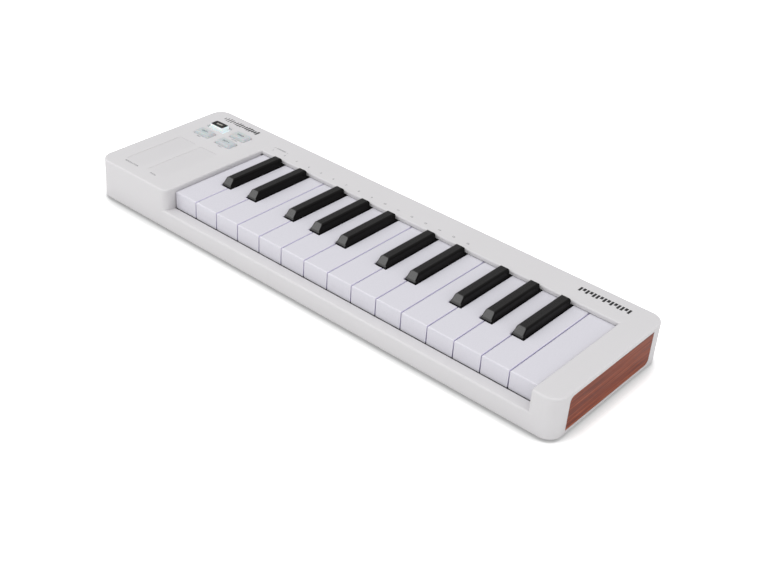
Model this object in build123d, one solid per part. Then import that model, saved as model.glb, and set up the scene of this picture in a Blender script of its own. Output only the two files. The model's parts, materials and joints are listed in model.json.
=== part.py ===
from build123d import *
import math
import os

# A slim-key MIDI keyboard: 25 sprung keys in a flat moulded case, with four push buttons and two
# touch strips on the left. Millimetres. +X runs to the player's right, +Y to the back, +Z up, and
# the origin is on the desk under the middle of the case.

# ---- Driving dimensions ------------------------------------------------------------------------
CASE_WIDTH = 356.0
CASE_DEPTH = 107.8
CASE_HEIGHT = 26.5  # the case alone, without its feet
FOOT_HEIGHT = 1.5  # how far the feet stand out below the case
CORNER_RADIUS = 8.8  # the case's upright corners
WELL_CORNERS = (4.5, 2.0)  # the upright corners where the key well opens to the front, left and right
EDGE_RADIUS = 1.2  # the outer edges of the top plate and of the lip
WALL = 2.2
TOP_PLATE = 2.6

KEY_PITCH = 18.33
WHITE_COUNT = 15
KEYS_LEFT = -114.4  # left edge of the first white key's pitch
KEY_GAP = 0.5  # between neighbouring white keys, at their tops
WHITE_FRONT = -45.2
WHITE_DROP = 3.05  # the white tops lie this far below the case top
BLACK_RISE = 2.0  # the black tops stand this far above the case top
BLACK_WIDTH = 7.8  # at the flared foot
BLACK_NECK_WIDTH = 7.0  # just above the flare
BLACK_TOP_WIDTH = 6.3
BLACK_FRONT = -17.5
BLACK_END = 28.8
BLACK_SHOULDER = 1.7  # round shoulders along the top
FACET_RIM = 0.8  # rounding round the raked front face
BLACK_GAP = 0.5  # from a black key's side to the white key beside it
LIP_HEIGHT = 12.0  # top of the front lip above the case bottom
WELL_BACK = 30.4

PIVOT_Y = 42.0
PIVOT_Z = 16.0
PIVOT_RADIUS = 1.5
PIVOT_CLEARANCE = 0.05
KEY_ANGLE = 4.2  # degrees, full key stroke

# ---- Sizes that follow from them ---------------------------------------------------------------
CASE_BOTTOM = FOOT_HEIGHT
CASE_TOP = CASE_BOTTOM + CASE_HEIGHT
PLATE_UNDER = CASE_TOP - TOP_PLATE
LIP_TOP = CASE_BOTTOM + LIP_HEIGHT
LIP_UNDER = LIP_TOP - WALL
WHITE_TOP = CASE_TOP - WHITE_DROP
BLACK_TOP = CASE_TOP + BLACK_RISE
BLACK_RIM = WHITE_TOP + 0.45  # the black keys' flare runs from here
BLACK_FLARE = WHITE_TOP + 1.3  # up to here
SIDE_GAP = 0.4  # from the outer keys to the walls of the well
WELL_LEFT = KEYS_LEFT - SIDE_GAP
WELL_RIGHT = KEYS_LEFT + WHITE_COUNT * KEY_PITCH + SIDE_GAP
LIP_BACK = WHITE_FRONT - 0.7
INNER_X = CASE_WIDTH / 2 - WALL
INNER_Y = CASE_DEPTH / 2 - WALL

# Black key centres within an octave, in white-key pitches, with the notes that they sound.
BLACK_PLACES = {"c_sharp": 0.89, "d_sharp": 2.10, "f_sharp": 3.87, "g_sharp": 5.03, "a_sharp": 6.18}
WHITE_NOTES = ("c", "d", "e", "f", "g", "a", "b")
OCTAVE = len(WHITE_NOTES)

# ---- Bottom cover, chassis and boards, as levels above the desk --------------------------------
COVER_THICK = 2.0
COVER_TOP = CASE_BOTTOM + COVER_THICK
CHASSIS_UNDER = 9.7
CHASSIS_TOP = 11.5
CHASSIS_FRONT = -42.2
CHASSIS_BACK = 45.6
CHASSIS_LEFT = KEYS_LEFT + 0.5
CHASSIS_RIGHT = KEYS_LEFT + WHITE_COUNT * KEY_PITCH - 0.5
BOARD_THICK = 1.6
KEY_BOARD_UNDER = 6.2
KEY_BOARD_TOP = KEY_BOARD_UNDER + BOARD_THICK
MAIN_BOARD_UNDER = 6.4
MAIN_BOARD_TOP = MAIN_BOARD_UNDER + BOARD_THICK
CONTROL_BOARD_TOP = 20.0
CONTROL_BOARD_UNDER = CONTROL_BOARD_TOP - BOARD_THICK

# ---- Key mechanism, along Y --------------------------------------------------------------------
KEY_WALL = 1.6
KEY_CEILING = WHITE_TOP - KEY_WALL
SKIRT_BOTTOM = 19.0
FRONT_BOTTOM = 13.4  # bottom of a white key's front face, just below the lip's top
KEY_BACK = 34.0
NOTCH_FRONT = BLACK_FRONT - BLACK_GAP
DRAFT = 0.9  # degrees that the key sides lean in towards the bottom
DOME_Y = 3.0
DOME_BASE_TOP = KEY_BOARD_TOP + 1.0
DOME_TOP = 12.6
PLUNGER_GAP = 0.3
HOOK_Y = 12.5
HOOK_FOOT_TOP = 8.55
HOOK_BOTTOM = 6.9
HOOK_WIDTH = 3.0
UP_FELT_THICK = 1.0
DOWN_FELT_THICK = 1.25
DOWN_FELT_TOP = CHASSIS_TOP + DOWN_FELT_THICK
WHITE_STOP_Y = -38.0
BLACK_STOP_Y = -12.0
SPRING_SHEET = 0.4
SPRING_WIDTH = 3.0
SPRING_GAP = 0.15
GUIDE_THICK = 3.0
GUIDE_CLEARANCE = 0.2
GUIDE_FRONT = -24.5
GUIDE_BACK = -20.7
GUIDE_TOP = 18.2
GUIDE_RIB_BOTTOM = 17.0
ARM_WIDTH = 5.6

# ---- Controls ----------------------------------------------------------------------------------
BUTTON_COLUMNS = (-157.35, -137.05)
BUTTON_ROWS = (32.35, 18.95)
BUTTON_TRAVEL = 0.8
FLANGE_TOP = PLATE_UNDER - 0.2
FLANGE_THICK = 1.0
BUTTONS = {
    # node: (column, row, cap width, cap depth, hole width, hole depth, rise above the case top,
    #        lean of each side towards the top, drop from the case top to a collar round the cap)
    "shift_button": (0, 0, 12.2, 7.3, 16.4, 9.6, 2.3, 0.3, 1.2),
    "hold_button": (1, 0, 13.2, 8.3, 13.8, 8.9, 1.8, 0.8, None),
    "octave_down_button": (0, 1, 13.2, 8.3, 13.8, 8.9, 1.8, 0.8, None),
    "octave_up_button": (1, 1, 13.2, 8.3, 13.8, 8.9, 1.8, 0.8, None),
}
STRIP_COLUMNS = {"modulation_touch_strip": -157.15, "pitch_touch_strip": -136.95}
STRIP_WIDTH = 15.4
STRIP_FRONT = -41.9
STRIP_BACK = 3.6
STRIP_POCKET = 0.8
STRIP_THICK = 0.68
STRIP_CORNER = 1.2

# ---- Side panels, sockets, feet and screws -----------------------------------------------------
PANEL_HALF = 41.4  # half the length of a side panel
PANEL_CENTRE = -0.7
PANEL_BOTTOM = CASE_BOTTOM + 2.5
PANEL_TOP = CASE_BOTTOM + 23.9
PANEL_POCKET = 1.2
PANEL_THICK = 1.15
PANEL_CORNER = 3.0
PANEL_FIT = 0.1

JACK_X = -133.0
JACK_Z = 13.2
JACK_BORE = 3.25
JACK_NOSE = 4.6
JACK_BODY_WIDTH = 15.0
JACK_BODY_HEIGHT = 10.0
JACK_DEPTH = 31.0
USB_X = -156.0
USB_WIDTH = 8.94
USB_HEIGHT = 3.26
USB_DEPTH = 7.3
USB_SHEET = 0.3
USB_Z = MAIN_BOARD_TOP + USB_HEIGHT / 2
USB_RELIEF = 0.35

FOOT_RADIUS = 6.0
FOOT_POCKET = 0.8
FOOT_PLACES = [(sx * 150.0, sy * 38.0) for sx in (-1, 1) for sy in (-1, 1)]

SCREW_RADIUS = 1.3
SCREW_HEAD = 2.5
SCREW_HEAD_HEIGHT = 1.2
BOSS_RADIUS = 2.9
CASE_SCREWS = (
    [(x, y) for x in (-168.7, -122.0) for y in (-42.5, 45.0)]
    + [(168.9, y) for y in (-42.5, 42.5)]
    + [(x, -48.7) for x in (-60.0, 22.0, 104.0)]
    + [(x, 48.6) for x in (-60.0, 22.0, 104.0)]
)
CHASSIS_SCREW_KEYS = (1, 7, 13)  # white keys with a chassis screw under them
CHASSIS_SCREW_ROWS = (-28.5, 31.0)
KEY_BOARD_SCREWS = [(x, -10.6) for x in (-100.0, -36.0, 24.0, 84.0, 148.0)]
MAIN_BOARD_SCREWS = [(-167.0, -30.0), (-124.5, -30.0), (-167.0, 30.0)]
CONTROL_BOARD_SCREWS = [(-170.0, -30.0), (-122.6, -30.0), (-170.2, 37.0), (-122.6, 26.0)]


# ---- Small helpers -----------------------------------------------------------------------------
def block(x0, x1, y0, y1, z0, z1):
    """A box between two corners."""
    centre = Pos((x0 + x1) / 2, (y0 + y1) / 2, (z0 + z1) / 2)
    return centre * Box(x1 - x0, y1 - y0, z1 - z0)


def post(x, y, z0, z1, radius):
    """An upright round post."""
    return Pos(x, y, (z0 + z1) / 2) * Cylinder(radius, z1 - z0)


def bar_x(x0, x1, y, z, radius):
    """A round bar along X."""
    return Pos((x0 + x1) / 2, y, z) * Rot(0, 90, 0) * Cylinder(radius, x1 - x0)


def bar_y(x, y0, y1, z, radius):
    """A round bar along Y."""
    return Pos(x, (y0 + y1) / 2, z) * Rot(90, 0, 0) * Cylinder(radius, y1 - y0)


def prism_x(points, x0, x1):
    """A side profile of (y, z) points, as thick as x0 to x1."""
    face = Plane(origin=(x0, 0, 0), x_dir=(0, 1, 0), z_dir=(1, 0, 0)) * make_polygon(points)
    return extrude(face, x1 - x0)


def prism_y(points, y0, y1):
    """A cross-section of (x, z) points, from y0 to y1."""
    face = Plane(origin=(0, y1, 0), x_dir=(1, 0, 0), z_dir=(0, -1, 0)) * make_polygon(points)
    return extrude(face, y1 - y0)


def make_polygon(points):
    return make_face(Polyline(*points, close=True))


def rectangle(x0, x1, y0, y1):
    """A flat rectangle between two corners, at z = 0."""
    return Pos((x0 + x1) / 2, (y0 + y1) / 2) * Rectangle(x1 - x0, y1 - y0)


def slab(sketch, z0, z1):
    """A flat sketch made into a plate from z0 to z1."""
    return extrude(Pos(0, 0, z0) * sketch, z1 - z0)


def group(shapes):
    """Separate solids that share one node."""
    return Compound(children=[solid for shape in shapes for solid in shape.solids()])


# ---- Where the keys are ------------------------------------------------------------------------
def pitch_x(place):
    """X of a place counted in white-key pitches from the left."""
    return KEYS_LEFT + place * KEY_PITCH


def black_keys():
    """(node, centre x) of each black key, from the left."""
    found = []
    for octave in range(WHITE_COUNT // OCTAVE):
        for note, place in BLACK_PLACES.items():
            found.append((f"black_key_{note}{octave + 1}", pitch_x(octave * OCTAVE + place)))
    return found


def white_keys():
    """(node, left, right, neck left, neck right) of each white key, from the left."""
    reach = BLACK_WIDTH / 2 + BLACK_GAP
    centres = [x for _, x in black_keys()]
    found = []
    for i in range(WHITE_COUNT):
        left = pitch_x(i) + KEY_GAP / 2
        right = pitch_x(i + 1) - KEY_GAP / 2
        neck_left = max([left] + [x + reach for x in centres if pitch_x(i) - reach < x < left + reach])
        neck_right = min([right] + [x - reach for x in centres if right - reach < x < right + reach])
        node = f"white_key_{WHITE_NOTES[i % OCTAVE]}{i // OCTAVE + 1}"
        found.append((node, left, right, neck_left, neck_right))
    return found


def lever_centres():
    """X of every key's mechanism, white and black, from the left."""
    whites = [(neck_left + neck_right) / 2 for _, _, _, neck_left, neck_right in white_keys()]
    return sorted(whites + [x for _, x in black_keys()])


# ---- Keys --------------------------------------------------------------------------------------
def key_mechanism(x, ceiling):
    """What every key carries below: contact plunger, up-stop hook and pivot arm."""
    half = HOOK_WIDTH / 2
    plunger = post(x, DOME_Y, DOME_TOP + PLUNGER_GAP, ceiling, 1.8)
    leg = block(x - half, x + half, HOOK_Y - 1, HOOK_Y + 1, HOOK_BOTTOM, ceiling)
    foot = block(x - half, x + half, HOOK_Y, HOOK_Y + 5.5, HOOK_BOTTOM, HOOK_FOOT_TOP)
    profile = [
        (27.5, SKIRT_BOTTOM),
        (27.5, KEY_CEILING + 0.4),
        (36.5, KEY_CEILING + 0.4),
        (PIVOT_Y + 3.2, PIVOT_Z + 1.6),
        (PIVOT_Y + 3.2, PIVOT_Z - 1.6),
        (PIVOT_Y - 2.6, PIVOT_Z - 2.4),
        (34.0, SKIRT_BOTTOM),
    ]
    arm = prism_x(profile, x - ARM_WIDTH / 2, x + ARM_WIDTH / 2)
    boss = bar_x(x - ARM_WIDTH / 2, x + ARM_WIDTH / 2, PIVOT_Y, PIVOT_Z, 3.5)
    return [plunger, leg, foot, arm, boss]


def stop_rib_bottom(y):
    """Where a rib at this place along the key must end, to meet its felt at full stroke."""
    return DOWN_FELT_TOP + (PIVOT_Y - y) * math.sin(math.radians(KEY_ANGLE)) + 0.08


def pivot_hole(x):
    return bar_x(x - ARM_WIDTH, x + ARM_WIDTH, PIVOT_Y, PIVOT_Z, PIVOT_RADIUS + PIVOT_CLEARANCE)


def white_key(left, right, neck_left, neck_right):
    """A hollow moulded white key with a notch beside each black key."""
    plan = rectangle(left, right, WHITE_FRONT, NOTCH_FRONT)
    plan += rectangle(neck_left, neck_right, WHITE_FRONT, KEY_BACK)
    height = WHITE_TOP - FRONT_BOTTOM
    body = extrude(Pos(0, 0, WHITE_TOP) * plan, height, dir=(0, 0, -1), taper=DRAFT)
    body = fillet(body.edges().group_by(Axis.Z)[-1], 0.75)
    behind = WHITE_FRONT + KEY_WALL + 0.1
    body -= block(left - 1, right + 1, behind, KEY_BACK + 1, FRONT_BOTTOM - 1, SKIRT_BOTTOM)
    body -= block(left + 1.7, right - 1.7, behind, NOTCH_FRONT - 1.5, FRONT_BOTTOM - 1, KEY_CEILING)
    body -= block(neck_left + 1.5, neck_right - 1.5, behind, KEY_BACK - 1.5, 0, KEY_CEILING)
    ceiling = KEY_CEILING + 0.2
    middle = (left + right) / 2
    for side in (-1, 1):
        near = middle + side * (GUIDE_THICK / 2 + GUIDE_CLEARANCE)
        far = near + side * 1.1
        body += block(min(near, far), max(near, far), GUIDE_FRONT - 0.5, GUIDE_BACK + 0.5, GUIDE_RIB_BOTTOM, ceiling)
    low = stop_rib_bottom(WHITE_STOP_Y)
    body += block(left + 1.6, right - 1.6, WHITE_STOP_Y - 0.9, WHITE_STOP_Y + 0.9, low, ceiling)
    centre = (neck_left + neck_right) / 2
    for piece in key_mechanism(centre, ceiling):
        body += piece
    return body - pivot_hole(centre)


def black_foot(x):
    """The low flared foot of a black key, rounded at its front corners."""
    foot, neck = BLACK_WIDTH / 2, BLACK_NECK_WIDTH / 2
    bend = ((foot + 2 * neck) / 3, (BLACK_FLARE + 2 * BLACK_RIM) / 3)
    outline = Line((x + foot, WHITE_TOP), (x + foot, BLACK_RIM))
    outline += ThreePointArc((x + foot, BLACK_RIM), (x + bend[0], bend[1]), (x + neck, BLACK_FLARE))
    outline += Line((x + neck, BLACK_FLARE), (x - neck, BLACK_FLARE))
    outline += ThreePointArc((x - neck, BLACK_FLARE), (x - bend[0], bend[1]), (x - foot, BLACK_RIM))
    outline += Line((x - foot, BLACK_RIM), (x - foot, WHITE_TOP))
    outline += Line((x - foot, WHITE_TOP), (x + foot, WHITE_TOP))
    plane = Plane(origin=(0, BLACK_END, 0), x_dir=(1, 0, 0), z_dir=(0, -1, 0))
    bar = extrude(plane * make_face(outline), BLACK_END - BLACK_FRONT)
    plan = fillet(rectangle(x - foot, x + foot, BLACK_FRONT, BLACK_END).vertices().group_by(Axis.Y)[0], 0.8)
    return bar & slab(plan, WHITE_TOP, BLACK_FLARE)


def black_cap(x):
    """What shows of a black key: a bar with round shoulders, cut off by a raked front face, on a flared foot."""
    neck, top = BLACK_NECK_WIDTH / 2, BLACK_TOP_WIDTH / 2
    low = BLACK_FRONT + 0.5
    high = BLACK_FRONT + 3.7
    sides = make_polygon([(x - neck, BLACK_FLARE), (x + neck, BLACK_FLARE), (x + top, BLACK_TOP), (x - top, BLACK_TOP)])
    sides = fillet(sides.vertices().group_by(Axis.Y)[-1], BLACK_SHOULDER)
    plane = Plane(origin=(0, BLACK_END + 1, 0), x_dir=(1, 0, 0), z_dir=(0, -1, 0))
    upper = extrude(plane * sides, BLACK_END + 2 - low)
    profile = make_polygon([(low, BLACK_FLARE), (high, BLACK_TOP), (BLACK_END, BLACK_TOP), (BLACK_END, BLACK_FLARE)])
    profile = fillet([v for v in profile.vertices() if v.X > high + 1 and v.Y > BLACK_TOP - 0.1], 1.1)
    side_plane = Plane(origin=(x - neck - 1, 0, 0), x_dir=(0, 1, 0), z_dir=(1, 0, 0))
    upper &= extrude(side_plane * profile, 2 * neck + 2)
    facet = upper.faces().sort_by(Axis.Y)[0]
    upper = fillet([e for e in facet.edges() if e.center().Z > BLACK_FLARE + 0.1], FACET_RIM)
    wedge = [
        (BLACK_FRONT - 1, BLACK_RIM),
        (BLACK_FRONT, BLACK_RIM),
        (low, BLACK_FLARE),
        (low, BLACK_FLARE + 1),
        (BLACK_FRONT - 1, BLACK_FLARE + 1),
    ]
    return black_foot(x) - prism_x(wedge, x - 5, x + 5) + upper


def black_key(x):
    """A hollow moulded black key."""
    foot, top = BLACK_WIDTH / 2, BLACK_TOP_WIDTH / 2
    lower = block(x - foot, x + foot, BLACK_FRONT, KEY_BACK, SKIRT_BOTTOM, WHITE_TOP)
    body = lower - block(x - foot, x + foot, BLACK_END, KEY_BACK + 1, WHITE_TOP - 0.6, WHITE_TOP + 1)
    body += black_cap(x)
    body -= block(x - foot + 1.2, x + foot - 1.2, BLACK_FRONT + 1.5, KEY_BACK - 1.5, 0, WHITE_TOP - 1.6)
    body -= block(x - top + 1.3, x + top - 1.3, BLACK_FRONT + 4.5, BLACK_END - 3, 0, BLACK_TOP - 2.2)
    for piece in key_mechanism(x, WHITE_TOP - 1.4):
        body += piece
    body += block(x - foot + 0.6, x + foot - 0.6, HOOK_Y - 1.5, HOOK_Y + 2.5, WHITE_TOP - 2.6, WHITE_TOP - 1)
    body += block(x - top, x + top, DOME_Y - 2, DOME_Y + 2, WHITE_TOP - 2.6, BLACK_TOP - 2)
    low = stop_rib_bottom(BLACK_STOP_Y)
    body += block(x - foot + 0.6, x + foot - 0.6, BLACK_STOP_Y - 0.9, BLACK_STOP_Y + 0.9, low, WHITE_TOP)
    return body - pivot_hole(x)


# ---- Case --------------------------------------------------------------------------------------
def case_plan(inset):
    return RectangleRounded(CASE_WIDTH - 2 * inset, CASE_DEPTH - 2 * inset, CORNER_RADIUS - inset)


def upper_plan(inset):
    """The case above the lip: left panel, back strip and right cheek, round the key well."""
    well = rectangle(WELL_LEFT - inset, WELL_RIGHT + inset, -CASE_DEPTH, WELL_BACK + inset)
    plan = case_plan(inset) - well
    front = -CASE_DEPTH / 2 + inset
    for edge, radius in zip((WELL_LEFT - inset, WELL_RIGHT + inset), WELL_CORNERS):
        corner = [v for v in plan.vertices() if abs(v.Y - front) < 0.01 and abs(v.X - edge) < 0.01]
        plan = fillet(corner, max(radius - inset, 0.4))
    return plan


def side_outline(side, grow):
    """A side panel's outline on the case's side: two opposite corners round, two square."""
    front, back = PANEL_CENTRE - PANEL_HALF - grow, PANEL_CENTRE + PANEL_HALF + grow
    bottom, top = PANEL_BOTTOM - grow, PANEL_TOP + grow
    face = make_polygon([(front, bottom), (back, bottom), (back, top), (front, top)])
    round_corners = [v for v in face.vertices() if (v.X < 0) == (v.Y > (bottom + top) / 2)]
    face = fillet(round_corners, PANEL_CORNER + grow)
    return Plane(origin=(side * CASE_WIDTH / 2, 0, 0), x_dir=(0, 1, 0), z_dir=(1, 0, 0)) * face


def side_panel(side):
    inner = -side * PANEL_POCKET
    plate = extrude(Pos(inner, 0, 0) * side_outline(side, 0), side * PANEL_THICK)
    outer = plate.faces().sort_by(Axis.X)[-1 if side > 0 else 0]
    return chamfer(outer.edges(), 0.15)


def button_centre(node):
    column, row = BUTTONS[node][:2]
    return BUTTON_COLUMNS[column], BUTTON_ROWS[row]


def top_shell():
    upper = slab(upper_plan(0), LIP_TOP - 2 * EDGE_RADIUS, CASE_TOP)
    upper = fillet(upper.edges().group_by(Axis.Z)[-1], EDGE_RADIUS)
    lower = slab(case_plan(0), CASE_BOTTOM, LIP_TOP)
    lower = fillet(lower.edges().group_by(Axis.Z)[-1], EDGE_RADIUS)
    lower = fillet(lower.edges().group_by(Axis.Z)[0], 0.8)
    shell = upper + lower
    # the space inside: below the lip, inside the raised parts, and the key well right through
    shell -= slab(case_plan(WALL), CASE_BOTTOM - 1, LIP_UNDER)
    shell -= slab(upper_plan(WALL), LIP_UNDER - 1, PLATE_UNDER)
    shell -= block(WELL_LEFT, WELL_RIGHT, LIP_BACK, WELL_BACK, LIP_UNDER - 1, CASE_TOP + 1)
    shell -= block(WELL_LEFT - 1, WELL_RIGHT + 1, WELL_BACK - 1, INNER_Y, LIP_UNDER - 1, PLATE_UNDER)
    for x, y in CASE_SCREWS:
        ceiling = LIP_UNDER if y < 0 and WELL_LEFT < x < WELL_RIGHT else PLATE_UNDER
        shell += post(x, y, COVER_TOP, ceiling + 0.5, BOSS_RADIUS if abs(y) < 48 else 2.6)
        shell -= post(x, y, COVER_TOP - 1, COVER_TOP + 8, SCREW_RADIUS)
    for x, y in CONTROL_BOARD_SCREWS:
        shell += post(x, y, CONTROL_BOARD_TOP, PLATE_UNDER + 0.5, 2.5)
        shell -= post(x, y, CONTROL_BOARD_TOP - 1, CONTROL_BOARD_TOP + 4.5, SCREW_RADIUS)
    for node, (_, _, _, _, hole_width, hole_depth, *_) in BUTTONS.items():
        x, y = button_centre(node)
        hole = Pos(x, y) * RectangleRounded(hole_width, hole_depth, 1.2)
        shell -= slab(hole, PLATE_UNDER - 1, CASE_TOP + 1)
    for x in STRIP_COLUMNS.values():
        shell -= slab(strip_outline(x, 0.05), CASE_TOP - STRIP_POCKET, CASE_TOP + 1)
    for side in (-1, 1):
        shell -= extrude(side_outline(side, PANEL_FIT), -side * PANEL_POCKET)
    back = CASE_DEPTH / 2
    shell -= bar_y(JACK_X, back - 2 * WALL, back + 1, JACK_Z, JACK_NOSE + 0.25)
    shell -= usb_outline(USB_RELIEF, back - 2 * WALL, back + 1)
    return shell


def bottom_cover():
    cover = slab(case_plan(WALL + 0.2), CASE_BOTTOM, COVER_TOP)
    for x, y in FOOT_PLACES:
        cover -= post(x, y, CASE_BOTTOM - 1, CASE_BOTTOM + FOOT_POCKET, FOOT_RADIUS + 0.05)
    for x, y in CASE_SCREWS:
        cover -= post(x, y, CASE_BOTTOM - 1, COVER_TOP + 1, SCREW_RADIUS + 0.2)
        cover -= post(x, y, CASE_BOTTOM - 1, CASE_BOTTOM + SCREW_HEAD_HEIGHT, SCREW_HEAD + 0.2)
    for x, y in chassis_screws():
        cover += post(x, y, COVER_TOP - 0.5, CHASSIS_UNDER, 3.0)
        cover -= post(x, y, CHASSIS_UNDER - 5.5, CHASSIS_UNDER + 1, SCREW_RADIUS)
    for x, y in MAIN_BOARD_SCREWS:
        cover += post(x, y, COVER_TOP - 0.5, MAIN_BOARD_UNDER, 2.8)
        cover -= post(x, y, MAIN_BOARD_UNDER - 3.2, MAIN_BOARD_UNDER + 1, SCREW_RADIUS)
    return cover


def strip_outline(x, grow):
    width, depth = STRIP_WIDTH + 2 * grow, STRIP_BACK - STRIP_FRONT + 2 * grow
    return Pos(x, (STRIP_FRONT + STRIP_BACK) / 2) * RectangleRounded(width, depth, STRIP_CORNER + grow)


def touch_strip(x):
    floor = CASE_TOP - STRIP_POCKET
    return slab(strip_outline(x, 0), floor, floor + STRIP_THICK)


def button(node):
    """A drafted cap with a retaining flange under the case top and a stem over its switch."""
    x, y = button_centre(node)
    _, _, width, depth, hole_width, hole_depth, rise, lean, collar_drop = BUTTONS[node]
    base = RectangleRounded(width, depth, 1.3)
    top = RectangleRounded(width - 2 * lean, depth - 2 * lean, 1.3)
    straight = slab(base, FLANGE_TOP, CASE_TOP)
    if collar_drop:
        straight += slab(RectangleRounded(hole_width - 0.5, hole_depth - 0.5, 1), FLANGE_TOP, CASE_TOP - collar_drop)
    raised = loft([Pos(0, 0, CASE_TOP) * base, Pos(0, 0, CASE_TOP + rise) * top])
    raised = fillet(raised.edges().group_by(Axis.Z)[-1], 0.45)
    flange = slab(RectangleRounded(hole_width + 2, hole_depth + 1.8, 1), FLANGE_TOP - FLANGE_THICK, FLANGE_TOP)
    stem = post(0, 0, SWITCH_TOP + BUTTON_TRAVEL + 0.05, FLANGE_TOP, 1.5)
    return Pos(x, y) * (straight + raised + flange + stem)


# ---- Inside ------------------------------------------------------------------------------------
SWITCH_BODY_TOP = CONTROL_BOARD_TOP + 1.6
SWITCH_TOP = SWITCH_BODY_TOP + 0.8


def chassis_screws():
    """(x, y) of the screws that hold the chassis to the bottom cover."""
    keys = white_keys()
    found = []
    for i in CHASSIS_SCREW_KEYS:
        _, left, right, _, neck_right = keys[i]
        found.append(((left + right) / 2, CHASSIS_SCREW_ROWS[0]))
        found.append((neck_right + BLACK_GAP / 2, CHASSIS_SCREW_ROWS[1]))
    return found


def rod_ear_places():
    """X of the chassis ears that carry the pivot rod: between neighbouring keys, and at both ends."""
    levers = lever_centres()
    between = [(a + b) / 2 for a, b in zip(levers, levers[1:])]
    return [CHASSIS_LEFT + 1.0] + between + [CHASSIS_RIGHT - 1.0]


def key_chassis():
    """The frame under the keys: a floor with guide posts, hook slots and ears for the pivot rod."""
    chassis = block(CHASSIS_LEFT, CHASSIS_RIGHT, CHASSIS_FRONT, CHASSIS_BACK, CHASSIS_UNDER, CHASSIS_TOP)
    floor = CHASSIS_TOP - 0.5
    for _, left, right, _, _ in white_keys():
        middle = (left + right) / 2
        half = GUIDE_THICK / 2
        chassis += block(middle - half, middle + half, GUIDE_FRONT, GUIDE_BACK, floor, GUIDE_TOP)
    for x in rod_ear_places():
        chassis += block(x - 0.9, x + 0.9, PIVOT_Y - 3.4, PIVOT_Y + 3.4, floor, PIVOT_Z + 3.2)
    for x in lever_centres():
        chassis -= post(x, DOME_Y, CHASSIS_UNDER - 1, CHASSIS_TOP + 1, 3.9)
        half = HOOK_WIDTH / 2 + 0.5
        chassis -= block(x - half, x + half, HOOK_Y - 1.8, HOOK_Y + 2.2, CHASSIS_UNDER - 1, CHASSIS_TOP + 1)
    for x, y in chassis_screws():
        chassis -= post(x, y, CHASSIS_UNDER - 1, CHASSIS_TOP + 1, SCREW_RADIUS + 0.15)
    for x, y in KEY_BOARD_SCREWS:
        chassis += post(x, y, KEY_BOARD_TOP, CHASSIS_UNDER + 0.5, 2.5)
        chassis -= post(x, y, KEY_BOARD_TOP - 1, KEY_BOARD_TOP + 3.2, SCREW_RADIUS)
    hole = PIVOT_RADIUS + PIVOT_CLEARANCE
    return chassis - bar_x(CHASSIS_LEFT - 1, CHASSIS_RIGHT + 1, PIVOT_Y, PIVOT_Z, hole)


def pivot_rod():
    rod = bar_x(CHASSIS_LEFT - 0.4, CHASSIS_RIGHT + 0.4, PIVOT_Y, PIVOT_Z, PIVOT_RADIUS)
    return chamfer(rod.edges().filter_by(GeomType.CIRCLE), 0.3)


def key_springs():
    """A stamped comb on the chassis floor, with one bent finger under each key's arm."""
    low, high = CHASSIS_TOP, SKIRT_BOTTOM - SPRING_GAP
    base = block(CHASSIS_LEFT + 2, CHASSIS_RIGHT - 2, 17.0, 21.0, low, low + SPRING_SHEET)
    profile = [
        (20.0, low),
        (21.2, low),
        (28.8, high - SPRING_SHEET),
        (32.0, high - SPRING_SHEET),
        (32.0, high),
        (28.6, high),
        (21.0, low + SPRING_SHEET),
        (20.0, low + SPRING_SHEET),
    ]
    half = SPRING_WIDTH / 2
    for x in lever_centres():
        base += prism_x(profile, x - half, x + half)
    return base


def down_stop_felts():
    """Two felt strips on the chassis floor: the white keys' stop and the black keys' stop."""
    rows = (WHITE_STOP_Y, BLACK_STOP_Y)
    return group(
        [block(CHASSIS_LEFT, CHASSIS_RIGHT, y - 2.2, y + 2.2, CHASSIS_TOP, DOWN_FELT_TOP) for y in rows]
    )


def up_stop_felt():
    """The felt strip under the chassis floor that the hooks rest against."""
    y0, y1 = HOOK_Y + 2.6, HOOK_Y + 6.5
    return block(CHASSIS_LEFT, CHASSIS_RIGHT, y0, y1, CHASSIS_UNDER - UP_FELT_THICK, CHASSIS_UNDER)


def contact_strip(levers, left, right):
    """A silicone strip with one hollow dome for each key."""
    strip = block(left, right, DOME_Y - 6.5, DOME_Y + 5.5, KEY_BOARD_TOP, DOME_BASE_TOP)
    for x in levers:
        low = Pos(x, DOME_Y, DOME_BASE_TOP - 0.2)
        high = Pos(x, DOME_Y, DOME_TOP)
        strip += loft([low * Circle(3.3), high * Circle(2.5)])
    for x in levers:
        strip -= post(x, DOME_Y, KEY_BOARD_TOP - 1, DOME_TOP - 1.0, 1.7)
    return strip


def key_board():
    board = block(CHASSIS_LEFT + 2, CHASSIS_RIGHT - 2, -13.8, 9.6, KEY_BOARD_UNDER, KEY_BOARD_TOP)
    for x, y in KEY_BOARD_SCREWS:
        board -= post(x, y, KEY_BOARD_UNDER - 1, KEY_BOARD_TOP + 1, SCREW_RADIUS + 0.15)
    return board


BAY_LEFT = -INNER_X + 1.5
BAY_RIGHT = WELL_LEFT - WALL - 0.8


def main_board():
    board = block(BAY_LEFT + 2.5, BAY_RIGHT, -36.0, 37.5, MAIN_BOARD_UNDER, MAIN_BOARD_TOP)
    board += block(USB_X - 6.4, JACK_X + 7.7, 37.0, INNER_Y - 0.5, MAIN_BOARD_UNDER, MAIN_BOARD_TOP)
    for x, y in MAIN_BOARD_SCREWS:
        board -= post(x, y, MAIN_BOARD_UNDER - 1, MAIN_BOARD_TOP + 1, SCREW_RADIUS + 0.15)
    return board


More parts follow.
